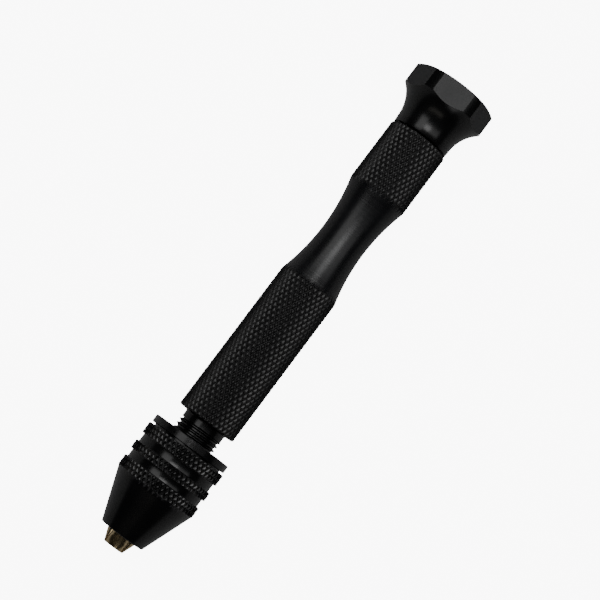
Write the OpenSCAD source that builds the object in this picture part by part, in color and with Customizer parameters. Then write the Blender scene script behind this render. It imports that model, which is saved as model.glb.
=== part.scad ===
// Small hand drill: a knurled handle with a free-turning palm cap at one end
// and a hand-tightened three-jaw chuck at the other. Millimetres.
// The drill lies along +X. The tip of the closed jaws is at X = 0, the palm cap is at the +X end,
// and one flat of the palm cap faces +Z.

/* [Jaws] */
// Diameter of the round pin that each jaw is cut from
jaw_d = 4; // [3:0.1:5]
// How far the closed jaws stand out of the nose
jaw_out = 2.94; // [1.5:0.1:4]
// Distance from the centre line to the back of a jaw at the nose
jaw_reach = 3.73; // [3.4:0.05:4]
// Diameter of the cone ground on the jaw tips
jaw_tip_d = 4.6; // [3.6:0.1:5.6]
// Half angle of the cone ground on the jaw tips
jaw_tip_angle = 21.3; // [16:0.5:28]
// Diameter that the closed jaws still grip
grip_d = 0.8; // [0.4:0.1:1.4]
// Length of the gripping land
grip_len = 4.8; // [3:0.1:6]
// Slit between neighbouring jaws when closed
jaw_slit = 0.24; // [0.1:0.02:0.5]
// How far back the open jaws move along the chuck's axis
jaw_back = 5; // [3:0.1:6]
// Pitch of the teeth on the jaws' backs
tooth_pitch = 1; // [0.8:0.1:1.4]
// Depth of those teeth
tooth_depth = 0.3; // [0.2:0.05:0.5]

/* [Chuck sleeve] */
// Diameter over the knurled bands
sleeve_d = 18.93; // [16:0.1:24]
// Diameter of the nose
nose_d = 10.26; // [9.8:0.1:12.5]
// Length of the smooth cone behind the nose
cone_len = 11.26; // [9:0.1:14]
// Widths of the knurled bands, from the nose back
band_w = [2.5, 2.05, 2.65]; // [1.5:0.1:4]
// Widths of the smooth grooves between the bands
groove_w = [1.75, 1.85]; // [1:0.1:3]
// Depth of those grooves
groove_depth = 0.585; // [0.3:0.05:0.8]
// Bevel on the edges of the bands
band_bevel = 0.2; // [0.05:0.05:0.4]
// Step from the cone up to the first band
cone_step = 0.165; // [0.05:0.05:0.4]
// Wall left under the grooves
sleeve_wall = 0.58; // [0.4:0.05:1.2]
// Wall of the cone at the nose
nose_wall = 0.6; // [0.4:0.05:0.8]

/* [Nut and washer] */
// Length of the split nut
nut_len = 3.2; // [2.5:0.1:4]
// Length of nut that the jaw teeth hold when closed
nut_bite = 2; // [1.5:0.1:2.5]
// Length of the nut's front chamfer
nut_chamfer = 0.9; // [0.5:0.1:1.2]
// Saw cut between the nut halves
nut_kerf = 0.12; // [0.05:0.01:0.3]
// Thickness of the thrust washer
washer_t = 0.7; // [0.4:0.1:1.2]

/* [Chuck body] */
// Diameter of the rear flange
flange_d = 18.3; // [15:0.1:22]
// Length of the rear flange
flange_len = 1.75; // [1.2:0.05:3]
// Open gap between the sleeve and the flange
flange_gap = 0.4; // [0.2:0.05:0.8]
// Diameter of the hole along the chuck's centre
through_d = 3.8; // [2:0.1:4.4]
// Length of the guide land behind the jaws
guide_len = 5; // [3:0.1:8]

/* [Stud thread] */
// Outer diameter of the thread
thread_d = 10; // [8:0.5:12]
// Pitch of the thread
thread_pitch = 1; // [0.75:0.05:1.25]
// Length of the thread that stays in sight
thread_shown = 3.05; // [1:0.05:6]
// Length of the plain relief next to the handle
relief_len = 1; // [0.5:0.1:2]
// Radius of the fillet into the handle
relief_fillet = 0.5; // [0.2:0.1:1]

/* [Handle] */
// Diameter over the knurled grips
grip_zone_d = 13.7; // [12:0.1:17]
// Length of the lower grip
lower_len = 35.57; // [25:0.5:50]
// Length of the smooth waist
waist_len = 23.83; // [18:0.5:30]
// Smallest diameter of the waist
waist_d = 10.41; // [8:0.1:11]
// Step from the knurl down to the waist
waist_step = 0.08; // [0.02:0.02:0.4]
// Length of the upper grip
upper_len = 14.7; // [11:0.5:22]
// Rounding of the handle's two ends
handle_round = 0.5; // [0.2:0.1:0.8]

/* [Bearing] */
// Outer diameter of the ball bearing
bearing_d = 10; // [9:0.5:12]
// Bore of the ball bearing
bearing_bore = 5; // [4:0.1:6]
// Width of the ball bearing
bearing_w = 4; // [3:0.1:5]
// Diameter of one ball
ball_d = 1.6; // [1.3:0.05:1.9]
// Number of balls
ball_count = 9; // [7:1:10]
// How far the bearing sits below the handle's top face
bearing_sink = 0.4; // [0.2:0.1:1]

/* [Palm cap] */
// Gap between the handle and the cap
cap_gap = 0.4; // [0.2:0.05:0.8]
// Diameter of the cap's neck
neck_d = 13.3; // [11:0.1:16]
// Length of the neck before the flare
neck_len = 1.3; // [0.8:0.1:3]
// How much smaller the neck is at its lower edge
neck_draft = 0.1; // [0.05:0.05:0.6]
// Radius of the flare
flare_r = 9.4; // [7.9:0.1:12]
// Length of the flare along the axis
flare_len = 7; // [5:0.1:7.8]
// Length of the head above the flare
head_len = 4.65; // [3:0.05:7]
// Size across the six flats, as a share of the head's diameter
flat_share = 0.919; // [0.88:0.005:0.97]
// Radius of the rounded rim of the palm face
rim_r = 3; // [1.5:0.1:4]
// Width of that rounding
rim_w = 1.55; // [0.5:0.05:2]
// Depth of the spindle in the cap
spindle_depth = 7; // [4:0.5:9]

/* [Cap screw] */
// Diameter of the screw's thread
screw_d = 2.5; // [2:0.5:3]
// Length of the screw under its head
screw_len = 5; // [4:0.5:7]
// Diameter of the screw's head
screw_head_d = 4.4; // [3.8:0.1:5]
// Height of the screw's head
screw_head_h = 1.4; // [1:0.1:2]
// Thickness of the washer that holds the bearing
cap_washer_t = 0.5; // [0.3:0.1:0.8]

/* [Clearances] */
// Radial clearance of a part that turns or slides
run_gap = 0.06; // [0.03:0.01:0.1]
// Radial clearance where two parts only stay clear of each other
free_gap = 0.13; // [0.1:0.01:0.2]
// End play of the nut
end_play = 0.05; // [0.03:0.01:0.1]

/* [Hidden] */
$fn = 96;
tiny = 0.01;
far = 60;
past = 1;
edge_chamfer = 0.15;
jaw_count = 3;
jaw_step = 360 / jaw_count;
flat_count = 6;

// The sleeve from the nose back
nose_x = jaw_out;
cone_end = nose_x + cone_len;
cone_end_r = sleeve_d / 2 - cone_step;
cone_slope = (cone_end_r - nose_d / 2) / cone_len;
groove_r = sleeve_d / 2 - groove_depth;
bore_r = groove_r - sleeve_wall;
nose_hole_r = nose_d / 2 - nose_wall;
bore_x = nose_x + (bore_r - nose_hole_r) / cone_slope;
band_x = [
    cone_end,
    cone_end + band_w[0] + groove_w[0],
    cone_end + band_w[0] + groove_w[0] + band_w[1] + groove_w[1]
];
sleeve_end = band_x[2] + band_w[2];

// The nut, its groove in the chuck body, and the thrust washer
nut_x = bore_x - nut_chamfer;
nut_end = nut_x + nut_len;
nut_nose_gap = 0.03;
nut_land_step = 0.1;
washer_rim_gap = 0.1;
washer_jaw_gap = 0.12;
washer_x = nut_end + end_play;
shoulder_x = washer_x + washer_t;
tail_x = nut_x + nut_bite;
open_tail_x = tail_x + jaw_back;
body_r = bore_r - run_gap;

// The jaws slide on lines that bring their open tails just inside the sleeve
tail_gap = 0.2;
tooth_mouth = 0.4;
tooth_land = 0.08;
tooth_start = 0.4;
jaw_room = 0.4;
jaw_slope = (bore_r - tail_gap - jaw_reach) / (open_tail_x - nose_x);
jaw_angle = atan(jaw_slope);
jaw_half = jaw_d / 2 / cos(jaw_angle);
jaw_axis_r = jaw_reach - jaw_half - jaw_slope * nose_x;
function jaw_back_r(x) = jaw_axis_r + jaw_half + jaw_slope * x;
tooth_step = tooth_pitch * cos(jaw_angle);
tooth_count = floor((nut_bite + jaw_back) / tooth_step);

// The chuck body
front_gap = 0.15;
groove_floor = 0.55;
collar_len = 0.85;
relief_depth = 0.5;
web_t = 0.9;
socket_chamfer = 0.4;
bore_end_x = open_tail_x + tail_gap;
socket_x = bore_end_x + web_t;
collar_end = shoulder_x + collar_len;
guide_x = sleeve_end + flange_gap - guide_len;
flange_x = sleeve_end + flange_gap;
flange_end = flange_x + flange_len;
nut_groove_r = jaw_back_r(nut_x) - groove_floor;

// The stud and the handle
thread_r = thread_d / 2;
thread_depth = 0.54 * thread_pitch;
thread_crest = 0.15 * thread_pitch;
thread_root_r = thread_r - thread_depth;
thread_fit = 0.1;
stud_gap = 0.2;
stud_chamfer = 0.4;
relief_step = 0.15;
stud_x = socket_x + stud_gap;
thread_end = flange_end + thread_shown;
handle_x = thread_end + relief_len + relief_fillet;
relief_r = thread_r - relief_step;
grip_r = grip_zone_d / 2;
waist_x = handle_x + lower_len;
upper_x = waist_x + waist_len;
handle_end = upper_x + upper_len;
waist_sag = grip_r - waist_step - waist_d / 2;
waist_arc_r = (waist_len * waist_len / 4 + waist_sag * waist_sag) / (2 * waist_sag);

// The bearing in the handle's top
bearing_end = handle_end - bearing_sink;
bearing_x = bearing_end - bearing_w;
ball_x = bearing_x + bearing_w / 2;
ball_r = ball_d / 2;
pitch_r = (bearing_d + bearing_bore) / 4;
race_gap = 0.03;
race_share = 0.75;
inner_ring_r = pitch_r - ball_r * race_share;
outer_ring_r = pitch_r + ball_r * race_share;
shield_t = 0.25;
shield_in = 0.2;
shield_seat = 0.2;
shield_gap = 0.15;
shield_seat_r = outer_ring_r + shield_seat;
cage_share = 0.4;
cage_wall = 0.2;
head_room = 0.8;
seat_shoulder = 0.65;
pocket_r = (bearing_d / 2 + outer_ring_r) / 2 - seat_shoulder;
pocket_x = bearing_x - cap_washer_t - screw_head_h - head_room;

// The palm cap
cap_x = handle_end + cap_gap;
flare_x = cap_x + neck_len;
head_x = flare_x + flare_len;
cap_end = head_x + head_len;
neck_r = neck_d / 2;
head_r = neck_r + flare_r - sqrt(flare_r * flare_r - flare_len * flare_len);
spindle_end = cap_x + spindle_depth;
spindle_short = 0.1;
boss_step = 0.05;

// The cap screw and its washer
screw_play = 0.1;
washer_step = 0.15;
screw_room = 0.5;
head_overlap = 0.5;
key_share = 0.24;
key_depth = 0.8;

// Turns the working frame so that its +Z runs along the drill and its +X points up
module along_drill() {
    rotate([180, 0, 0]) rotate([0, 90, 0]) children();
}

// A turned ring between two places on the axis
module ring(x0, x1, outer, inner = 0) {
    difference() {
        translate([0, 0, x0]) cylinder(r = outer, h = x1 - x0);
        if (inner > 0) translate([0, 0, x0 - past]) cylinder(r = inner, h = x1 - x0 + 2 * past);
    }
}

// A turned solid from an outline of [radius, place] points
module turned(outline) {
    rotate_extrude() polygon(outline);
}

// The inclined pin that a jaw is cut from, and that its hole in the chuck body follows
module jaw_pin(r) {
    translate([jaw_axis_r, 0, 0]) rotate([0, jaw_angle, 0])
        translate([0, 0, -far / 4]) cylinder(r = r, h = far);
}

// Outline of one knurled band with bevelled edges, from the place x: six points, and the first band skips
// the first one, because the cone runs straight into its bevel
function band_outline(x, w) = [
    [groove_r, x], [sleeve_d / 2 - band_bevel, x], [sleeve_d / 2, x + band_bevel],
    [sleeve_d / 2, x + w - band_bevel], [sleeve_d / 2 - band_bevel, x + w], [groove_r, x + w]
];

module chuck_sleeve() {
    color([0.05, 0.05, 0.055])
    along_drill() turned(concat(
        [[nose_hole_r, nose_x], [nose_d / 2, nose_x], [cone_end_r, cone_end]],
        [for (i = [0:len(band_x) - 1]) for (j = [i > 0 ? 0 : 1:5]) band_outline(band_x[i], band_w[i])[j]],
        [[bore_r, sleeve_end], [bore_r, bore_x]]
    ));
}

// Ring of teeth: grooves whose mouths lie on a cone of the given radius at place x
module tooth_grooves(first_x, count, mouth_r, inwards) {
    side = inwards ? 1 : -1;
    for (i = [0:count - 1]) {
        x = first_x + i * tooth_step;
        base = mouth_r + jaw_slope * (x - nose_x);
        turned([
            [base - side * tooth_mouth, x - 0.5 * tooth_step + tooth_land],
            [base + side * tooth_depth, x],
            [base - side * tooth_mouth, x + 0.5 * tooth_step - tooth_land]
        ]);
    }
}

// Both halves of the nut as one ring, with a cone inside that the jaws' backs slide along
module nut_ring() {
    inner = jaw_back_r(nut_x) + run_gap;
    difference() {
        turned([
            [inner, nut_x], [bore_r - nut_chamfer * cone_slope - nut_nose_gap, nut_x],
            [bore_r, nut_x + nut_chamfer + nut_land_step], [bore_r, nut_end],
            [inner + jaw_slope * nut_len, nut_end]
        ]);
        tooth_grooves(nut_x + tooth_step * (1 - tooth_start), floor(nut_len / tooth_step), jaw_back_r(nose_x) + run_gap, true);
    }
}

module nut_half(side) {
    color([0.55, 0.55, 0.56])
    along_drill() intersection() {
        nut_ring();
        translate([-far / 2, side > 0 ? nut_kerf / 2 : -far / 2 - nut_kerf / 2, 0])
            cube([far, far / 2, far]);
    }
}

module nut_half_a() { nut_half(1); }
module nut_half_b() { nut_half(-1); }

module thrust_washer() {
    color([0.62, 0.62, 0.63])
    along_drill() ring(washer_x, shoulder_x, bore_r - washer_rim_gap, jaw_back_r(shoulder_x) + washer_jaw_gap);
}

// Chuck body: nose cone, nut groove, guide land and flange, with three inclined jaw holes
module chuck_body() {
    front_x = nose_x + front_gap;
    front_r = nose_hole_r - free_gap;
    groove_x = nut_x - end_play;
    relief = body_r - relief_depth;
    color([0.07, 0.07, 0.075])
    along_drill() difference() {
        turned([
            [0, front_x], [front_r + cone_slope * (front_x - nose_x), front_x],
            [front_r + cone_slope * (groove_x - nose_x), groove_x],
            [nut_groove_r, groove_x], [nut_groove_r, shoulder_x],
            [body_r, shoulder_x], [body_r, collar_end],
            [relief, collar_end], [relief, guide_x],
            [body_r, guide_x], [body_r, flange_x],
            [flange_d / 2 - edge_chamfer, flange_x], [flange_d / 2, flange_x + edge_chamfer],
            [flange_d / 2, flange_end - edge_chamfer], [flange_d / 2 - edge_chamfer, flange_end],
            [0, flange_end]
        ]);
        for (i = [0:jaw_count - 1])
            rotate([0, 0, i * jaw_step])
                intersection() {
                    jaw_pin(jaw_d / 2 + run_gap);
                    translate([0, 0, -past]) cylinder(r = far / 2, h = bore_end_x + past);
                }
        ring(0, socket_x + past, through_d / 2);
        ring(socket_x, flange_end + past, thread_r);
        turned([
            [0, flange_end - socket_chamfer], [thread_r - thread_fit, flange_end - socket_chamfer],
            [thread_r + socket_chamfer - thread_fit, flange_end + tiny], [0, flange_end + tiny]
        ]);
    }
}

// One jaw, closed: an inclined pin cut to a third of the circle, with the gripping land inside
module jaw(i) {
    apex = jaw_slit / 2 / sin(jaw_step / 2);
    color([0.55, 0.47, 0.33])
    along_drill() rotate([0, 0, i * jaw_step]) difference() {
        intersection() {
            jaw_pin(jaw_d / 2);
            linear_extrude(tail_x)
                polygon([
                    [apex, 0],
                    [apex + far, far * tan(jaw_step / 2)],
                    [apex + far, -far * tan(jaw_step / 2)]
                ]);
            cylinder(r1 = jaw_tip_d / 2, r2 = jaw_tip_d / 2 + far * tan(jaw_tip_angle), h = far);
        }
        ring(-past, grip_len, grip_d / 2);
        ring(grip_len, far, grip_d / 2 + jaw_room);
        tooth_grooves(tail_x - (tooth_count - tooth_start) * tooth_step, tooth_count, jaw_back_r(nose_x), false);
    }
}

module jaw_1() { jaw(0); }
module jaw_2() { jaw(1); }
module jaw_3() { jaw(2); }

// Handle: threaded stud, lower grip, waist, upper grip and the bearing's seat, turned in one piece
module handle_grip() {
    turns = floor((thread_end - stud_x) / thread_pitch);
    color([0.06, 0.06, 0.065])
    along_drill() difference() {
        union() {
            turned(concat(
                [[0, stud_x], [thread_r - stud_chamfer, stud_x], [thread_r, stud_x + stud_chamfer]],
                [for (i = [0:turns - 2]) let (x = stud_x + stud_chamfer + i * thread_pitch) each [
                    [thread_r, x + thread_crest],
                    [thread_root_r, x + thread_pitch / 2],
                    [thread_r, x + thread_pitch - thread_crest]
                ]],
                [[thread_r, thread_end], [relief_r, thread_end], [relief_r, handle_x + tiny], [0, handle_x + tiny]]
            ));
            rotate_extrude() difference() {
                translate([0, handle_x - relief_fillet]) square([relief_r + relief_fillet, relief_fillet + tiny]);
                translate([relief_r + relief_fillet, handle_x - relief_fillet]) circle(r = relief_fillet);
            }
            rotate_extrude() difference() {
                translate([0, handle_x]) square([grip_r, handle_end - handle_x]);
                translate([waist_d / 2 + waist_arc_r, (waist_x + upper_x) / 2]) circle(r = waist_arc_r);
                end_round(handle_x, 1);
                end_round(handle_end, -1);
            }
        }
        ring(bearing_x, handle_end + past, bearing_d / 2);
        ring(pocket_x, bearing_x + past, pocket_r);
    }
}

// Cutter that rounds the outer corner of the handle's end at place x; way is +1 at the low end
module end_round(x, way) {
    r = handle_round;
    difference() {
        translate([grip_r - r, way > 0 ? x - past : x - r]) square([r + past, r + past]);
        translate([grip_r - r, x + way * r]) circle(r = r);
    }
}

module bearing_outer_ring() {
    color([0.66, 0.67, 0.69])
    along_drill() difference() {
        ring(bearing_x, bearing_end, bearing_d / 2, outer_ring_r);
        ring(bearing_x - past, bearing_x + shield_in + shield_t, shield_seat_r);
        ring(bearing_end - shield_in - shield_t, bearing_end + past, shield_seat_r);
        race_groove();
    }
}

module bearing_inner_ring() {
    color([0.66, 0.67, 0.69])
    along_drill() difference() {
        ring(bearing_x, bearing_end, inner_ring_r, bearing_bore / 2);
        race_groove();
    }
}

// The round groove that the balls run in
module race_groove() {
    rotate_extrude() translate([pitch_r, ball_x]) circle(r = ball_r + race_gap);
}

module shield(x) {
    color([0.5, 0.5, 0.52])
    along_drill() ring(x, x + shield_t, shield_seat_r, inner_ring_r + shield_gap);
}

module bearing_shield_front() { shield(bearing_x + shield_in); }
module bearing_shield_rear() { shield(bearing_end - shield_in - shield_t); }

module bearing_balls() {
    color([0.8, 0.8, 0.82])
    along_drill()
        for (i = [0:ball_count - 1])
            rotate([0, 0, i * 360 / ball_count]) translate([pitch_r, 0, ball_x]) sphere(r = ball_r);
}

module bearing_cage() {
    half = ball_r + cage_wall;
    color([0.72, 0.6, 0.35])
    along_drill() difference() {
        ring(ball_x - half, ball_x + half, pitch_r + cage_share * ball_r, pitch_r - cage_share * ball_r);
        for (i = [0:ball_count - 1])
            rotate([0, 0, i * 360 / ball_count]) translate([pitch_r - ball_r, 0, ball_x])
                rotate([0, 90, 0]) cylinder(r = ball_r + race_gap, h = ball_d);
    }
}

// Palm cap: neck, flare and head, with six milled flats and a blind hole for the spindle
module palm_cap() {
    color([0.09, 0.09, 0.1])
    along_drill() difference() {
        union() {
            ring(bearing_end, cap_x + tiny, inner_ring_r - boss_step);
            intersection() {
                rotate_extrude() cap_outline();
                rotate([0, 0, 180 / flat_count]) translate([0, 0, cap_x - past])
                    cylinder(r = head_r * flat_share / cos(180 / flat_count), h = far, $fn = flat_count);
            }
        }
        ring(bearing_end - past, spindle_end, bearing_bore / 2);
    }
}

module cap_outline() {
    rim_x = cap_end - rim_r;
    difference() {
        union() {
            polygon([
                [0, cap_x], [neck_r - neck_draft, cap_x], [neck_r, flare_x],
                [0, flare_x]
            ]);
            difference() {
                translate([0, flare_x]) square([head_r, cap_end - flare_x]);
                translate([neck_r + flare_r, flare_x]) circle(r = flare_r, $fn = 4 * $fn);
            }
        }
        difference() {
            translate([head_r - rim_w, rim_x]) square([rim_w + past, rim_r + past]);
            translate([head_r - rim_w, rim_x]) circle(r = rim_r, $fn = 4 * $fn);
        }
    }
}

module cap_spindle() {
    color([0.6, 0.6, 0.62])
    along_drill() difference() {
        ring(bearing_x + spindle_short, spindle_end, bearing_bore / 2);
        ring(bearing_x - past, bearing_x + screw_len - cap_washer_t + screw_room, screw_d / 2);
    }
}

module spindle_washer() {
    color([0.62, 0.62, 0.64])
    along_drill() ring(bearing_x - cap_washer_t, bearing_x, inner_ring_r - washer_step, screw_d / 2 + screw_play);
}

module spindle_screw() {
    screw_x = bearing_x - cap_washer_t - screw_head_h;
    color([0.5, 0.5, 0.52])
    along_drill() difference() {
        union() {
            ring(screw_x, bearing_x - cap_washer_t, screw_head_d / 2);
            ring(screw_x + head_overlap, bearing_x - cap_washer_t + screw_len, screw_d / 2);
        }
        translate([0, 0, screw_x - past])
            cylinder(r = screw_head_d * key_share, h = past + key_depth, $fn = 6);
    }
}

handle_grip();
chuck_body();
thrust_washer();
bearing_outer_ring();
bearing_shield_front();
bearing_shield_rear();
palm_cap();
cap_spindle();
spindle_washer();
spindle_screw();
bearing_inner_ring();
bearing_balls();
bearing_cage();
chuck_sleeve();
nut_half_a();
nut_half_b();
jaw_1();
jaw_2();
jaw_3();
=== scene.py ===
# A small hand drill: knurled handle, palm cap that turns freely, three-jaw chuck.
# Every piece is modelled in millimetres about the drill's own axis, X, and brought to metres when it is done.
import math

import bpy
from mathutils import Matrix, Vector


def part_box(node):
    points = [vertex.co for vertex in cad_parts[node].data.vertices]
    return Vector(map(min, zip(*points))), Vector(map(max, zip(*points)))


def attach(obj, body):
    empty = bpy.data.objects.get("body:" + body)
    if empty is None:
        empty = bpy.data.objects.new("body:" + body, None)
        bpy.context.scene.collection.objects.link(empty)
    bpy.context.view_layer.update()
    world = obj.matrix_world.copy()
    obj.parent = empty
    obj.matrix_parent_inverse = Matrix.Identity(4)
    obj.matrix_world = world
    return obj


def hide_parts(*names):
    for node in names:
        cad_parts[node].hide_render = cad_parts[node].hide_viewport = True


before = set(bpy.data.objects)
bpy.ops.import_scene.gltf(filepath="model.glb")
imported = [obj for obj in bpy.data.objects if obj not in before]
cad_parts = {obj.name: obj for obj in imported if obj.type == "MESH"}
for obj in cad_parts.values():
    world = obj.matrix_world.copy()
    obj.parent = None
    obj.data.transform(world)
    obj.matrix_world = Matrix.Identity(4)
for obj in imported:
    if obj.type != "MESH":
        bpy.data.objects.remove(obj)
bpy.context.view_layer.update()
mm = 0.001
smoothAngle = 30  # degrees between faces up to which a skin is shaded smooth
past = 1.0  # how far a cutting shape runs past what it cuts, in mm

# where the pieces lie along X, in mm
drillPlaces = {
    "noseFront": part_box("chuck_sleeve")[0].x / mm,
    "flangeEnd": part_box("chuck_body")[1].x / mm,
    "studStart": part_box("handle_grip")[0].x / mm,
    "handleEnd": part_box("handle_grip")[1].x / mm,
    "bearingStart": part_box("bearing_outer_ring")[0].x / mm,
    "bearingEnd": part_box("bearing_outer_ring")[1].x / mm,
    "screwHead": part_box("spindle_screw")[0].x / mm,
    "capEnd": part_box("palm_cap")[1].x / mm,
}


def startFresh(active=None):
    # object mode, with only the given piece selected
    if bpy.context.mode != "OBJECT":
        bpy.ops.object.mode_set(mode="OBJECT")
    bpy.ops.object.select_all(action="DESELECT")
    if active:
        active.select_set(True)
        bpy.context.view_layer.objects.active = active


def addRing(name, x, radius, corners):
    # an empty circle across the axis, left in edit mode with all of it selected
    startFresh()
    bpy.ops.mesh.primitive_circle_add(vertices=corners, radius=radius, location=(x, 0, 0),
                                      rotation=(0, math.pi / 2, 0))
    piece = bpy.context.object
    piece.name = piece.data.name = name
    bpy.ops.object.transform_apply(location=True, rotation=True, scale=True)
    bpy.ops.object.mode_set(mode="EDIT")
    bpy.ops.mesh.select_mode(type="VERT")
    bpy.ops.mesh.select_all(action="SELECT")
    return piece


def pullRing(start, end):
    # extrudes the selected ring from one [x, radius] to the next
    bpy.ops.mesh.extrude_region_move(TRANSFORM_OT_translate={"value": (end[0] - start[0], 0, 0)})
    grow = end[1] / start[1]
    bpy.ops.transform.resize(value=(1, grow, grow), center_override=(end[0], 0, 0))


def turnPiece(name, outline, corners):
    # turns a closed solid from an outline of [x, radius], from one flat end to the other
    piece = addRing(name, *outline[0], corners)
    bpy.ops.mesh.edge_face_add()
    for start, end in zip(outline, outline[1:]):
        pullRing(start, end)
    bpy.ops.mesh.select_all(action="SELECT")
    bpy.ops.mesh.normals_make_consistent(inside=False)
    startFresh(piece)
    return piece


def arcPoints(centre, radius, fromAngle, toAngle, steps):
    # points of a round stretch, angles in degrees from the axis
    angles = [math.radians(fromAngle + (toAngle - fromAngle) * i / steps) for i in range(steps + 1)]
    return [[centre[0] + radius * math.cos(a), centre[1] + radius * math.sin(a)] for a in angles]


def combine(piece, tool, how):
    # a boolean between two closed solids; the tool is used up
    startFresh(piece)
    step = piece.modifiers.new(how.lower(), "BOOLEAN")
    step.operation = how
    step.solver = "MANIFOLD"
    step.object = tool
    bpy.ops.object.modifier_apply(modifier=step.name)
    startFresh(tool)
    bpy.ops.object.delete()
    startFresh(piece)


def softenEdges(piece, sizes, finish=-1):
    # rounds the piece's corners; finish says which of its finishes the new faces take
    startFresh(piece)
    step = piece.modifiers.new("edges", "BEVEL")
    step.width = sizes["edge"]
    step.segments = sizes["edgeSegments"]
    step.limit_method = "ANGLE"
    step.angle_limit = math.radians(sizes["edgeAngle"])
    step.use_clamp_overlap = True
    step.material = finish
    bpy.ops.object.modifier_apply(modifier=step.name)


def setFinishes(piece, *names):
    piece.data.materials.clear()
    for name in names:
        piece.data.materials.append(finishes[name])


def finishPiece(piece, body, node):
    # brings a piece to metres, shades it, sets what it rides on, and hides the CAD node it stands in for
    startFresh(piece)
    piece.scale = (mm, mm, mm)
    bpy.ops.object.transform_apply(location=True, rotation=True, scale=True)
    bpy.ops.object.shade_smooth_by_angle(angle=math.radians(smoothAngle))
    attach(piece, body)
    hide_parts(node)
    print(f"{piece.name}: {len(piece.data.polygons)} faces")


# diamonds of both knurled bars, in mm: half a diamond's length, depth, and the width and rise of each inset
knurlShape = {
    "half": 1.046, "depth": 0.3,
    "steps": [(0.02, 0), (0.16, 0.18), (0.12, 0.075), (0.11, 0.033), (0.07, 0.01)],
}


def knurlBar(name, start, end, radius, around):
    # a bar with raised diamonds: a grid of half diamonds, un-subdivided so that faces stand on their corners
    half = knurlShape["half"]
    floor = radius - knurlShape["depth"]
    bar = addRing(name, start, floor, around * 2)
    for row in range(math.ceil((end - start) / half)):
        pullRing([start + row * half, floor], [start + (row + 1) * half, floor])
    bpy.ops.mesh.select_all(action="SELECT")
    bpy.ops.mesh.normals_make_consistent(inside=False)
    bpy.ops.mesh.unsubdivide(iterations=1)
    bpy.ops.mesh.select_mode(type="FACE")
    bpy.ops.mesh.select_all(action="DESELECT")
    bpy.ops.mesh.select_face_by_sides(number=4, type="EQUAL", extend=False)
    for width, rise in knurlShape["steps"]:
        bpy.ops.mesh.inset(thickness=width, depth=rise, use_individual=True, use_even_offset=True)
    bpy.ops.mesh.select_all(action="SELECT")
    bpy.ops.mesh.fill_holes(sides=0)
    bpy.ops.mesh.select_all(action="SELECT")
    bpy.ops.mesh.normals_make_consistent(inside=False)
    startFresh(bar)
    return bar


def addNode(tree, kind, values=None, **settings):
    node = tree.nodes.new(kind)
    for name, value in settings.items():
        setattr(node, name, value)
    for name, value in (values or {}).items():
        node.inputs[name].default_value = value
    return node


def mathNode(tree, operation, first, second, clamp=False):
    node = addNode(tree, "ShaderNodeMath", operation=operation, use_clamp=clamp)
    for socket, source in zip(node.inputs, (first, second)):
        if isinstance(source, (int, float)):
            socket.default_value = source
        else:
            tree.links.new(source, socket)
    return node.outputs[0]


def newGroup(name, inputs, outputs):
    group = bpy.data.node_groups.new(name, "ShaderNodeTree")
    for label, value in inputs.items():
        socket = group.interface.new_socket(name=label, in_out="INPUT", socket_type="NodeSocketFloat")
        socket.default_value = value
    for label in outputs:
        group.interface.new_socket(name=label, in_out="OUTPUT", socket_type="NodeSocketFloat")
    return group, group.nodes.new("NodeGroupInput"), group.nodes.new("NodeGroupOutput")


def turningMarksGroup():
    # fine lines left by the lathe: rings along the axis on turned skins, and round the centre on faced ends
    group, given, made = newGroup("turningMarks", {"Lines per mm": 8.0, "Waviness": 0.15}, ["Height"])
    place = addNode(group, "ShaderNodeTexCoord")
    axes = addNode(group, "ShaderNodeSeparateXYZ")
    group.links.new(place.outputs["Object"], axes.inputs[0])
    flat = addNode(group, "ShaderNodeCombineXYZ")
    group.links.new(axes.outputs["Y"], flat.inputs["Y"])
    group.links.new(axes.outputs["Z"], flat.inputs["Z"])
    out = addNode(group, "ShaderNodeVectorMath", operation="LENGTH")
    group.links.new(flat.outputs[0], out.inputs[0])
    reach = mathNode(group, "ADD", axes.outputs["X"], out.outputs["Value"])
    along = mathNode(group, "MULTIPLY", reach, 1 / mm)
    sway = addNode(group, "ShaderNodeTexNoise", {"Scale": 260.0, "Detail": 1.0})
    group.links.new(place.outputs["Object"], sway.inputs["Vector"])
    drift = mathNode(group, "MULTIPLY", sway.outputs["Fac"], given.outputs["Waviness"])
    spot = mathNode(group, "ADD", along, drift)
    lines = addNode(group, "ShaderNodeTexNoise", {"Scale": 1.0, "Detail": 4.0, "Roughness": 0.55},
                    noise_dimensions="1D")
    group.links.new(mathNode(group, "MULTIPLY", spot, given.outputs["Lines per mm"]), lines.inputs["W"])
    group.links.new(lines.outputs["Fac"], made.inputs["Height"])
    return group


def satinGrainGroup():
    # the fine even tooth of a blasted and dyed surface, and its slow change in tone
    group, given, made = newGroup("satinGrain", {"Grains per mm": 9.0}, ["Height", "Tone"])
    place = addNode(group, "ShaderNodeTexCoord")
    fine = addNode(group, "ShaderNodeTexNoise", {"Detail": 3.0, "Roughness": 0.65})
    slow = addNode(group, "ShaderNodeTexNoise", {"Scale": 140.0, "Detail": 4.0, "Roughness": 0.6})
    group.links.new(place.outputs["Object"], fine.inputs["Vector"])
    group.links.new(place.outputs["Object"], slow.inputs["Vector"])
    group.links.new(mathNode(group, "DIVIDE", given.outputs["Grains per mm"], mm), fine.inputs["Scale"])
    group.links.new(fine.outputs["Fac"], made.inputs["Height"])
    group.links.new(slow.outputs["Fac"], made.inputs["Tone"])
    return group


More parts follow.
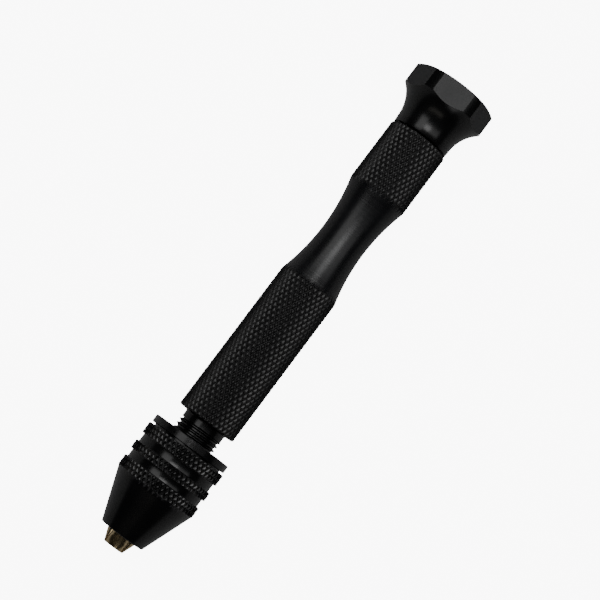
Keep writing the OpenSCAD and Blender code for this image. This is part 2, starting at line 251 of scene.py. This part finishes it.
def edgeWearGroup():
    # convex edges rubbed thin, broken up by noise
    group, given, made = newGroup("edgeWear", {"Start": 0.53, "Spread": 0.08, "Breakup": 0.5}, ["Mask"])
    shape = addNode(group, "ShaderNodeNewGeometry")
    over = mathNode(group, "SUBTRACT", shape.outputs["Pointiness"], given.outputs["Start"])
    raised = mathNode(group, "DIVIDE", over, given.outputs["Spread"], clamp=True)
    place = addNode(group, "ShaderNodeTexCoord")
    patches = addNode(group, "ShaderNodeTexNoise", {"Scale": 900.0, "Detail": 5.0, "Roughness": 0.7})
    group.links.new(place.outputs["Object"], patches.inputs["Vector"])
    contrast, middle = 5.0, 0.5
    broken = mathNode(group, "SUBTRACT", patches.outputs["Fac"], given.outputs["Breakup"])
    sharper = mathNode(group, "MULTIPLY", broken, contrast)
    kept = mathNode(group, "ADD", sharper, middle, clamp=True)
    group.links.new(mathNode(group, "MULTIPLY", raised, kept, clamp=True), made.inputs["Mask"])
    return group


# effects that the finishes share, as node groups
effects = {"marks": turningMarksGroup(), "grain": satinGrainGroup(), "wear": edgeWearGroup()}


def useEffect(tree, name, values):
    return addNode(tree, "ShaderNodeGroup", values, node_tree=effects[name])


def mixColours(tree, share, first, second):
    node = addNode(tree, "ShaderNodeMix", data_type="RGBA")
    tree.links.new(share, node.inputs["Factor"])
    for socket, source in ((node.inputs[6], first), (node.inputs[7], second)):
        if isinstance(source, tuple):
            socket.default_value = (*source, 1)
        else:
            tree.links.new(source, socket)
    return node.outputs[2]


def metalMaterial(name, look):
    # one finish: colour that drifts, lathe lines and grain as relief, edges rubbed to the bare metal
    material = bpy.data.materials.new(name)
    material.use_nodes = True
    material.diffuse_color = (*look["colour"], 1)
    tree = material.node_tree
    shader = tree.nodes["Principled BSDF"]
    grain = useEffect(tree, "grain", {"Grains per mm": look["grainsPerMm"]})
    marks = useEffect(tree, "marks", {"Lines per mm": look["linesPerMm"], "Waviness": look["waviness"]})
    wear = useEffect(tree, "wear", {"Start": look["wearStart"], "Spread": look["wearSpread"],
                                    "Breakup": look["wearBreakup"]})
    rubbed = mathNode(tree, "MULTIPLY", wear.outputs["Mask"], look["wear"])
    body = mixColours(tree, grain.outputs["Tone"], look["colour"], look["otherColour"])
    tree.links.new(mixColours(tree, rubbed, body, look["bareColour"]), shader.inputs["Base Color"])
    metallic = addNode(tree, "ShaderNodeMapRange", {"To Min": look["metallic"], "To Max": 1.0})
    tree.links.new(rubbed, metallic.inputs["Value"])
    tree.links.new(metallic.outputs["Result"], shader.inputs["Metallic"])
    smooth, dull = look["roughness"]
    rough = addNode(tree, "ShaderNodeMapRange",
                    {"From Min": 0.3, "From Max": 0.7, "To Min": smooth, "To Max": dull})
    tree.links.new(grain.outputs["Tone"], rough.inputs["Value"])
    streak = mathNode(tree, "MULTIPLY", marks.outputs["Height"], look["streaks"])
    roughness = mathNode(tree, "ADD", rough.outputs["Result"], streak, clamp=True)
    tree.links.new(roughness, shader.inputs["Roughness"])
    relief = mathNode(tree, "MULTIPLY", marks.outputs["Height"], look["markDepth"])
    tooth = mathNode(tree, "MULTIPLY", grain.outputs["Height"], look["grainDepth"])
    bump = addNode(tree, "ShaderNodeBump", {"Strength": 1.0, "Distance": mm})
    tree.links.new(mathNode(tree, "ADD", relief, tooth), bump.inputs["Height"])
    tree.links.new(bump.outputs["Normal"], shader.inputs["Normal"])
    shader.inputs["Specular IOR Level"].default_value = look["gloss"]
    return material


blackFinish = {
    "colour": (0.003, 0.003, 0.0033), "otherColour": (0.005, 0.005, 0.0055), "bareColour": (0.30, 0.30, 0.31),
    "metallic": 0.0, "roughness": (0.24, 0.32), "gloss": 0.5,
    "linesPerMm": 7.0, "waviness": 0.1, "streaks": 0.06, "markDepth": 0.0018,
    "grainsPerMm": 12.0, "grainDepth": 0.0010,
    "wear": 0.25, "wearStart": 0.56, "wearSpread": 0.12, "wearBreakup": 0.55,
}
steelFinish = {
    **blackFinish, "colour": (0.46, 0.46, 0.47), "otherColour": (0.56, 0.56, 0.57),
    "bareColour": (0.75, 0.75, 0.76), "metallic": 1.0, "roughness": (0.24, 0.36),
    "markDepth": 0.002, "wear": 0.3,
}
finishes = {
    "knurlBlack": metalMaterial("knurlBlack", {
        **blackFinish, "colour": (0.006, 0.006, 0.006), "otherColour": (0.0085, 0.0085, 0.009),
        "roughness": (0.28, 0.36)}),
    "turnedBlack": metalMaterial("turnedBlack", {
        **blackFinish, "colour": (0.006, 0.0062, 0.0072), "otherColour": (0.008, 0.0084, 0.0100),
        "roughness": (0.20, 0.27), "linesPerMm": 2.4, "streaks": 0.12, "markDepth": 0.011, "wear": 0.0}),
    "capBlack": metalMaterial("capBlack", {
        **blackFinish, "roughness": (0.17, 0.24), "linesPerMm": 5.0, "markDepth": 0.0006,
        "grainDepth": 0.0005, "wear": 0.0}),
    "capFlats": metalMaterial("capFlats", {
        **blackFinish, "colour": (0.007, 0.007, 0.008), "otherColour": (0.009, 0.009, 0.010),
        "roughness": (0.40, 0.46), "markDepth": 0.0, "grainDepth": 0.003, "wear": 0.0}),
    "chuckBlack": metalMaterial("chuckBlack", {
        **blackFinish, "roughness": (0.16, 0.22), "linesPerMm": 5.0, "streaks": 0.02, "markDepth": 0.0002,
        "grainDepth": 0.0005}),
    # painted highlight: the cap's bevelled edges get a lighter, warm colour that paints the thin light lines
    # along them
    "paintedEdgeHighlight": metalMaterial("paintedEdgeHighlight", {
        **blackFinish, "colour": (0.030, 0.026, 0.022), "otherColour": (0.055, 0.045, 0.036),
        "roughness": (0.30, 0.42), "markDepth": 0.0, "wear": 0.0}),
    "strawJaw": metalMaterial("strawJaw", {
        **steelFinish, "colour": (0.72, 0.59, 0.36), "otherColour": (0.60, 0.46, 0.25),
        "roughness": (0.17, 0.24), "markDepth": 0.0003, "grainDepth": 0.0003, "wear": 0.0}),
    "turnedSteel": metalMaterial("turnedSteel", steelFinish),
    "bearingSteel": metalMaterial("bearingSteel", {
        **steelFinish, "colour": (0.62, 0.62, 0.64), "otherColour": (0.70, 0.70, 0.72),
        "roughness": (0.08, 0.16), "markDepth": 0.0008, "grainDepth": 0.0002}),
    "cageBrass": metalMaterial("cageBrass", {
        **steelFinish, "colour": (0.58, 0.40, 0.14), "otherColour": (0.48, 0.32, 0.12),
        "roughness": (0.25, 0.4)}),
}
print("materials ready")


# handle: knurled bar, turned, bored and threaded; sizes in mm
handleSizes = {
    "gripRadius": 6.85, "lowerGrip": 35.57, "waist": 23.83, "upperGrip": 14.7, "knurlsAround": 36,
    "waistRadius": 5.205, "waistStep": 0.08, "waistRings": 40,
    "endRound": 0.5, "roundSteps": 7, "roundShort": 6, "relief": 1.0, "reliefRadius": 4.85,
    "reliefUnder": 0.2, "fillet": 0.5, "filletSteps": 6, "boreRadius": 5.0, "boreChamfer": 0.15,
    "pocketRadius": 4.03, "pocketRoom": 0.8, "corners": 144, "clear": 0.05,
}
threadSizes = {
    "radius": 5.0, "pitch": 1.0, "depth": 0.541, "crest": 0.125, "root": 0.25, "crestRoom": 0.02,
    "shown": 3.05, "chamfer": 0.4, "steps": 96, "seed": 0.1, "join": 0.0001, "weld": 0.0005, "cut": 0.00001,
}


def handleOutline():
    s = handleSizes
    end = drillPlaces["handleEnd"]
    upper = end - s["upperGrip"]
    waist = upper - s["waist"]
    start = waist - s["lowerGrip"]
    over = s["gripRadius"] + s["clear"]
    sag = s["gripRadius"] - s["waistStep"] - s["waistRadius"]
    bend = (s["waist"] ** 2 / 4 + sag ** 2) / (2 * sag)
    half = math.degrees(math.asin(s["waist"] / 2 / bend))
    middle = (waist + upper) / 2
    roundCentre = s["gripRadius"] - s["endRound"]
    # the end rounds stop some degrees short of the crest, which the knurl makes
    short, steps = s["roundShort"], s["roundSteps"]
    return [
        [start - s["fillet"] - s["relief"] - s["reliefUnder"], s["reliefRadius"]],
        *arcPoints((start - s["fillet"], s["reliefRadius"] + s["fillet"]), s["fillet"],
                   -90, 0, s["filletSteps"]),
        *arcPoints((start + s["endRound"], roundCentre), s["endRound"], 180, 90 + short, steps),
        [start + s["endRound"] + s["clear"], over], [waist, over],
        *arcPoints((middle, s["waistRadius"] + bend), bend, -90 - half, -90 + half, s["waistRings"]),
        [upper, over], [end - s["endRound"] - s["clear"], over],
        *arcPoints((end - s["endRound"], roundCentre), s["endRound"], 90 - short, 0, steps),
        [end, s["boreRadius"] + s["boreChamfer"]], [end - s["boreChamfer"], s["boreRadius"]],
        [drillPlaces["bearingStart"], s["boreRadius"]], [drillPlaces["bearingStart"], s["pocketRadius"]],
        [drillPlaces["screwHead"] - s["pocketRoom"], s["pocketRadius"]],
    ]


def threadBar(name, start, end, thread):
    # one pitch of the thread's outline, drawn from a plane merged to a point and run round as a helix
    pitch, radius, root = thread["pitch"], thread["radius"], thread["radius"] - thread["depth"]
    flank = (pitch - thread["crest"] - thread["root"]) / 2
    points = [[0, radius], [thread["crest"], radius], [thread["crest"] + flank, root],
              [pitch - flank, root], [pitch, radius]]
    startFresh()
    bpy.ops.mesh.primitive_plane_add(size=thread["seed"], location=(0, 0, 0))
    bar = bpy.context.object
    bar.name = bar.data.name = name
    bpy.ops.object.mode_set(mode="EDIT")
    bpy.ops.mesh.select_mode(type="VERT")
    bpy.ops.mesh.select_all(action="SELECT")
    bpy.ops.mesh.merge(type="CENTER")
    bpy.ops.transform.translate(value=(start - pitch, 0, radius))
    for (x0, r0), (x1, r1) in zip(points, points[1:]):
        bpy.ops.mesh.extrude_region_move(TRANSFORM_OT_translate={"value": (x1 - x0, 0, r1 - r0)})
    startFresh(bar)
    run = bar.modifiers.new("thread", "SCREW")
    run.axis = "X"
    run.screw_offset = pitch
    run.iterations = math.ceil((end - start) / pitch) + 2
    run.steps = run.render_steps = thread["steps"]
    run.use_merge_vertices = True
    run.merge_threshold = thread["join"]
    bpy.ops.object.modifier_apply(modifier=run.name)
    bpy.ops.object.mode_set(mode="EDIT")
    bpy.ops.mesh.select_all(action="SELECT")
    bpy.ops.mesh.remove_doubles(threshold=thread["weld"])
    for x, side in ((start, -1), (end, 1)):
        bpy.ops.mesh.select_all(action="SELECT")
        bpy.ops.mesh.bisect(plane_co=(x, 0, 0), plane_no=(side, 0, 0), use_fill=True, clear_outer=True,
                            threshold=thread["cut"])
    bpy.ops.mesh.select_all(action="SELECT")
    bpy.ops.mesh.normals_make_consistent(inside=False)
    startFresh(bar)
    return bar


def makeHandle():
    s, t = handleSizes, threadSizes
    end = drillPlaces["handleEnd"]
    outline = handleOutline()
    half = knurlShape["half"]
    handle = knurlBar("knurled_handle", outline[0][0] - half, end + 2 * half, s["gripRadius"],
                      s["knurlsAround"])
    combine(handle, turnPiece("handleOutline", outline, s["corners"]), "INTERSECT")
    studStart = drillPlaces["studStart"]
    threadEnd = drillPlaces["flangeEnd"] + t["shown"]
    stud = threadBar("stud", studStart, threadEnd, t)
    tip = t["radius"] + t["crestRoom"]
    combine(stud, turnPiece("studOutline", [
        [studStart, tip - t["chamfer"]], [studStart + t["chamfer"], tip], [threadEnd + past, tip]],
        t["steps"]), "INTERSECT")
    combine(handle, stud, "UNION")
    skins = ("knurlBlack", "turnedBlack", "chuckBlack")
    setFinishes(handle, *skins)
    finishPiece(handle, "handle", "handle_grip")
    waistEnd = end - s["upperGrip"]
    waistStart = waistEnd - s["waist"]
    for face in handle.data.polygons:  # the waist is a turned skin, the stud and its relief a smoother one
        x = face.center.x / mm
        if x < waistStart - s["lowerGrip"]:
            face.material_index = skins.index("chuckBlack")
        elif waistStart < x < waistEnd:
            face.material_index = skins.index("turnedBlack")


# palm cap: turned, six flats milled, edges broken; sizes in mm, flatFace a flat's least area in square mm
capSizes = {
    "gap": 0.4, "bossRadius": 3.1, "neckRadius": 6.65, "neck": 1.3, "neckDraft": 0.1,
    "flareRadius": 9.4, "flare": 7.0, "flareRings": 36, "flats": 6, "acrossShare": 0.919,
    "rimRadius": 3.0, "rimWidth": 1.55, "rimRings": 8, "spindleRadius": 2.5, "spindleDepth": 7.0,
    "corners": 192, "holeCorners": 96, "edge": 0.1, "edgeSegments": 2, "edgeAngle": 12,
    "flatFace": 3.0, "flatLean": 0.01, "cutterLength": 60,
}


def weighNormals(piece):
    # large faces look flat beside their rounded edges
    startFresh(piece)
    step = piece.modifiers.new("normals", "WEIGHTED_NORMAL")
    step.keep_sharp = True
    step.weight = 80
    bpy.ops.object.modifier_apply(modifier=step.name)


def makeCap():
    s = capSizes
    start = drillPlaces["handleEnd"] + s["gap"]
    flare = start + s["neck"]
    bearingEnd = drillPlaces["bearingEnd"]
    centre = (flare, s["neckRadius"] + s["flareRadius"])
    sweep = math.degrees(math.asin(s["flare"] / s["flareRadius"]))
    flareArc = arcPoints(centre, s["flareRadius"], -90, -90 + sweep, s["flareRings"])
    headRadius = flareArc[-1][1]
    rimCentre = (drillPlaces["capEnd"] - s["rimRadius"], headRadius - s["rimWidth"])
    rimAngle = math.degrees(math.asin(s["rimWidth"] / s["rimRadius"]))
    cap = turnPiece("palm_cap_turned", [
        [bearingEnd, s["bossRadius"]], [start, s["bossRadius"]], [start, s["neckRadius"] - s["neckDraft"]],
        *flareArc, *arcPoints(rimCentre, s["rimRadius"], rimAngle, 0, s["rimRings"])], s["corners"])
    startFresh()
    across = headRadius * s["acrossShare"] / math.cos(math.pi / s["flats"])
    bpy.ops.mesh.primitive_cylinder_add(vertices=s["flats"], radius=across, depth=s["cutterLength"],
                                        location=(start, 0, 0), rotation=(0, math.pi / 2, 0))
    combine(cap, bpy.context.object, "INTERSECT")
    combine(cap, turnPiece("spindleHole", [
        [bearingEnd - past, s["spindleRadius"]], [start + s["spindleDepth"], s["spindleRadius"]]],
        s["holeCorners"]), "DIFFERENCE")
    # the bevel faces of the cap take the painted edge highlight colour
    skins = ("capBlack", "capFlats", "paintedEdgeHighlight")
    setFinishes(cap, *skins)
    softenEdges(cap, s, skins.index("paintedEdgeHighlight"))
    finishPiece(cap, "cap", "palm_cap")
    for face in cap.data.polygons:  # the milled flats are duller than the turned skin
        if face.area > s["flatFace"] * mm * mm and abs(face.normal.x) < s["flatLean"]:
            face.material_index = skins.index("capFlats")
    weighNormals(cap)


# chuck sleeve: cone and three knurled bands; sizes in mm
sleeveSizes = {
    "noseRadius": 5.13, "noseHole": 4.53, "noseEdge": 0.12, "cone": 11.26, "coneRings": 12, "coneEnd": 9.3,
    "bandRadius": 9.465, "bands": [2.5, 2.05, 2.65], "grooves": [1.75, 1.85], "grooveDepth": 0.585,
    "bevel": 0.2, "bore": 8.3, "grooveFillet": 0.15, "filletSteps": 4, "knurlsAround": 50, "corners": 200,
    "clear": 0.05, "barClear": 0.2, "sameX": 0.0001,
}


def bandOutline(start, width, s, fromCone):
    # up the front bevel, along just above the knurl, and down the rear bevel to the groove
    end = start + width
    floor = s["bandRadius"] - s["grooveDepth"]
    low = s["bandRadius"] - s["bevel"]
    over = s["bandRadius"] + s["clear"]
    rise = s["bevel"] + s["clear"]
    fillet, steps = s["grooveFillet"], s["filletSteps"]
    front = []
    if not fromCone:
        front = [*arcPoints((start - fillet, floor + fillet), fillet, -90, 0, steps), [start, low]]
    return [*front, [start + rise, over], [end - rise, over], [end, low],
            *arcPoints((end + fillet, floor + fillet), fillet, 180, 270, steps)]


def makeSleeve():
    s = sleeveSizes
    nose, cone, rings = drillPlaces["noseFront"], s["cone"], s["coneRings"]
    coneEnd = nose + cone
    slope = (s["coneEnd"] - s["noseRadius"]) / cone
    shares = [s["noseEdge"] / cone] + [i / rings for i in range(1, rings + 1)]
    outline = [[nose, s["noseRadius"] - s["noseEdge"]],
               *[[nose + cone * share, s["noseRadius"] + slope * cone * share] for share in shares]]
    x = coneEnd
    for i, width in enumerate(s["bands"]):
        outline += bandOutline(x, width, s, i == 0)
        if i < len(s["grooves"]):
            x += width + s["grooves"][i]
    end = x + s["bands"][-1]
    outline = [point for point in outline if point[0] <= end + s["sameX"]]  # no fillet behind the last band
    bar = knurlBar("knurled_sleeve", coneEnd - knurlShape["half"], end + 2 * past, s["bandRadius"],
                   s["knurlsAround"])
    over = s["bandRadius"] + s["barClear"]
    combine(bar, turnPiece("noseBar", [[nose - past, over], [coneEnd, over]], s["corners"]), "UNION")
    combine(bar, turnPiece("sleeveOutline", outline, s["corners"]), "INTERSECT")
    hole = s["noseHole"]
    boreStart = nose + (s["bore"] - hole) / slope
    combine(bar, turnPiece("sleeveBore", [
        [nose - past, hole - slope * past], [boreStart, s["bore"]], [end + past, s["bore"]]],
        s["corners"]), "DIFFERENCE")
    setFinishes(bar, "chuckBlack")
    finishPiece(bar, "sleeve", "chuck_sleeve")


# jaws: softened copies of the machined shape; weld in mm, angles in degrees
jawSizes = {"edge": 0.05, "edgeSegments": 2, "edgeAngle": 28, "weld": 0.001, "flatAngle": 0.5}


def makeJaw(name):
    # works on a copy, cleaned of the triangles and shading it came with
    startFresh()
    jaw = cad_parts[name].copy()
    jaw.data = jaw.data.copy()
    jaw.parent = None
    jaw.name = jaw.data.name = name + "_ground"
    for label in list(jaw.keys()):
        del jaw[label]
    bpy.context.scene.collection.objects.link(jaw)
    startFresh(jaw)
    bpy.ops.object.mode_set(mode="EDIT")
    bpy.ops.mesh.select_all(action="SELECT")
    bpy.ops.mesh.customdata_custom_splitnormals_clear()
    bpy.ops.mesh.remove_doubles(threshold=jawSizes["weld"] * mm)
    bpy.ops.mesh.dissolve_limited(angle_limit=math.radians(jawSizes["flatAngle"]))
    startFresh(jaw)
    bpy.ops.object.transform_apply(location=True, rotation=True, scale=True)
    jaw.scale = (1 / mm,) * 3
    bpy.ops.object.transform_apply(location=True, rotation=True, scale=True)
    softenEdges(jaw, jawSizes)
    setFinishes(jaw, "strawJaw")
    finishPiece(jaw, name, name)


makeHandle()
makeCap()
makeSleeve()
for name in ("jaw_1", "jaw_2", "jaw_3"):
    makeJaw(name)
print("pieces ready")

# pieces inside the drill, and the chuck body, keep their shape and only take a finish
nodeFinishes = {
    "chuckBlack": ["chuck_body"],
    "turnedSteel": ["thrust_washer", "cap_spindle", "spindle_washer", "spindle_screw", "nut_half_a",
                    "nut_half_b", "bearing_shield_front", "bearing_shield_rear"],
    "bearingSteel": ["bearing_outer_ring", "bearing_inner_ring", "bearing_balls"],
    "cageBrass": ["bearing_cage"],
}
for finish, names in nodeFinishes.items():
    for name in names:
        setFinishes(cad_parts[name], finish)

# aim and distance in metres, tilt and turn in degrees, lens and sensor in mm
cameraPlace = {
    "aim": (0.06381, -0.00031, 0.0), "distance": 0.4167, "tilt": 5.8, "turn": 36.9,
    "lens": 120.0, "sensor": 36,
}


def addCamera():
    # stands over the drill with a slight lean towards the nose
    c = cameraPlace
    tilt, turn = math.radians(c["tilt"]), math.radians(c["turn"])
    ahead = Vector((math.sin(tilt), 0, -math.cos(tilt)))
    along = Vector((math.cos(tilt), 0, math.sin(tilt)))
    across = Vector((0, -1, 0))
    right = along * math.sin(turn) + across * math.cos(turn)
    up = along * math.cos(turn) - across * math.sin(turn)
    data = bpy.data.cameras.new("studioCamera")
    data.lens = c["lens"]
    data.sensor_width = c["sensor"]
    camera = bpy.data.objects.new("studioCamera", data)
    bpy.context.scene.collection.objects.link(camera)
    turned = Matrix((right, up, -ahead)).transposed().to_4x4()
    camera.matrix_world = Matrix.Translation(Vector(c["aim"]) - ahead * c["distance"]) @ turned
    bpy.context.scene.camera = camera


def addLamp(name, place, aim, size, power, colour):
    data = bpy.data.lights.new(name, "AREA")
    data.shape = "RECTANGLE"
    data.size, data.size_y = size
    data.energy = power
    data.color = colour
    lamp = bpy.data.objects.new(name, data)
    bpy.context.scene.collection.objects.link(lamp)
    lamp.location = place
    lamp.rotation_euler = (Vector(aim) - Vector(place)).to_track_quat("-Z", "X").to_euler()


# floor and surroundings: sizes in metres; lift and backdrop are what the camera sees, the rest is what lights
stageValues = {
    "floorSize": 6.0, "floorMiddle": 0.06, "floorColour": (0.5, 0.5, 0.5), "floorLift": 9.0,
    "floorRoughness": 0.9, "floorGloss": 0.1, "horizon": (0.02, 0.25),
    "aboveColour": (0.008, 0.008, 0.009), "roundColour": (0.24, 0.24, 0.24), "backdrop": (9.3, 9.3, 9.3),
}
# soft panels, with a gap above the camera: place, what it faces, size, power, colour
lamps = {
    "leftLamp": ((0.29, 0.56, 1.05), (0.29, 0, 0), (0.58, 0.82), 2.2, (1, 1, 1)),
    "rightLamp": ((0.45, -0.62, 1.05), (0.45, 0, 0), (0.76, 0.70), 1.5, (1, 1, 1)),
    "rearLamp": ((0.465, 0.0, 1.15), (0.465, 0, 0), (0.67, 0.50), 4.0, (1, 1, 1)),
    "palmLamp": ((1.10, 0.35, 0.50), (0.1, 0, 0), (0.5, 0.5), 1.2, (1, 1, 1)),
    "noseLamp": ((-1.10, -0.30, 0.30), (0, 0, 0), (0.4, 0.4), 0.5, (1, 1, 1)),
    "jawLamp": ((-0.67, 0.20, 1.05), (-0.67, 0.20, 0), (0.20, 1.10), 0.5, (1, 0.94, 0.84)),
}


def addStage():
    s = stageValues
    startFresh()
    lowest = min(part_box("chuck_sleeve")[0].z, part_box("palm_cap")[0].z)
    bpy.ops.mesh.primitive_plane_add(size=s["floorSize"], location=(s["floorMiddle"], 0, lowest))
    floor = bpy.context.object
    floor.name = "studioFloor"
    paint = bpy.data.materials.new("paleFloor")
    paint.use_nodes = True
    tree = paint.node_tree
    shader = tree.nodes["Principled BSDF"]
    shader.inputs["Base Color"].default_value = (*s["floorColour"], 1)
    shader.inputs["Roughness"].default_value = s["floorRoughness"]
    shader.inputs["Specular IOR Level"].default_value = s["floorGloss"]
    shader.inputs["Emission Color"].default_value = (1, 1, 1, 1)
    seen = addNode(tree, "ShaderNodeLightPath")  # looks paler than it lights, as a lit backdrop does
    tree.links.new(mathNode(tree, "MULTIPLY", seen.outputs["Is Camera Ray"], s["floorLift"]),
                   shader.inputs["Emission Strength"])
    floor.data.materials.append(paint)
    world = bpy.data.worlds.new("studioWorld")
    bpy.context.scene.world = world
    world.use_nodes = True
    tree = world.node_tree
    sky = tree.nodes["Background"]
    place = addNode(tree, "ShaderNodeTexCoord")
    axes = addNode(tree, "ShaderNodeSeparateXYZ")
    tree.links.new(place.outputs["Generated"], axes.inputs[0])
    height = addNode(tree, "ShaderNodeMapRange", {"From Min": s["horizon"][0], "From Max": s["horizon"][1]},
                     interpolation_type="SMOOTHSTEP")
    tree.links.new(axes.outputs["Z"], height.inputs["Value"])
    sides = mixColours(tree, height.outputs["Result"], s["roundColour"], s["aboveColour"])
    seen = addNode(tree, "ShaderNodeLightPath")
    tree.links.new(mixColours(tree, seen.outputs["Is Camera Ray"], sides, s["backdrop"]), sky.inputs["Color"])


addCamera()
addStage()
for name, values in lamps.items():
    addLamp(name, *values)
print("stage ready")
